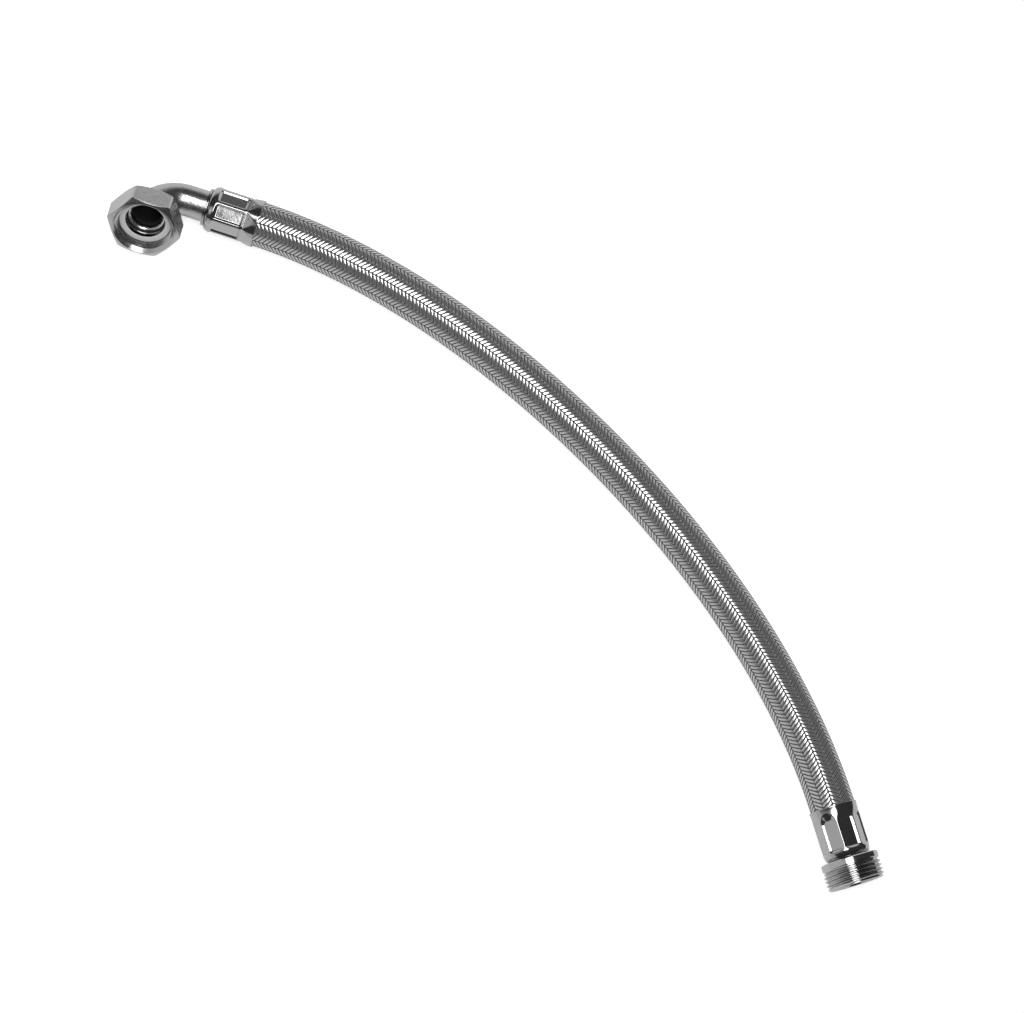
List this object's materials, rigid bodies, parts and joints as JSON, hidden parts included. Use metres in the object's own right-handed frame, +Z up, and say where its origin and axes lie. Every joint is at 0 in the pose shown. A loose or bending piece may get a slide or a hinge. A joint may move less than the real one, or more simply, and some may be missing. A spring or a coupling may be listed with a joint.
{
  "type": "braided supply line",
  "caption": "Braided steel water hose lying in a shallow curve, with a bent pipe and hexagon swivel nut crimped on one end and a threaded nipple crimped on the other.",
  "frame": {"origin": "point on the floor under the middle of the box around the fittings", "axes": "+Z up from the floor that the line lies on, +X from the swivel nut's end towards the nipple's end, +Y from the nipple's end towards the swivel nut's end, so the line runs from -X +Y to +X -Y"},
  "size_m": [0.434, 0.3987, 0.0512],
  "materials": {
    "swivel_nut": "polished",
    "sealing_gasket": "matte",
    "elbow_pipe": "polished",
    "elbow_tail": "polished",
    "elbow_ferrule": "polished",
    "braid_sleeve": "satin",
    "inner_tube": "matte",
    "nipple_ferrule": "polished",
    "male_nipple": "polished"
  },
  "bodies": {
    "line": {"elbow_pipe": "elbow_pipe", "sealing_gasket": "sealing_gasket", "elbow_tail": "elbow_tail", "elbow_ferrule": "elbow_ferrule", "braid_sleeve": "braid_sleeve", "inner_tube": "inner_tube", "nipple_ferrule": "nipple_ferrule", "male_nipple": "male_nipple"},
    "nut": {"swivel_nut": "swivel_nut"}
  },
  "joints": [
    {"name": "nut_spin", "type": "hinge", "parent": "line", "child": "nut", "pos_m": [-0.19575, 0.17536, 0.03283], "axis": [-0.1323, -0.7287, 0.6719], "continuous": true}
  ]
}
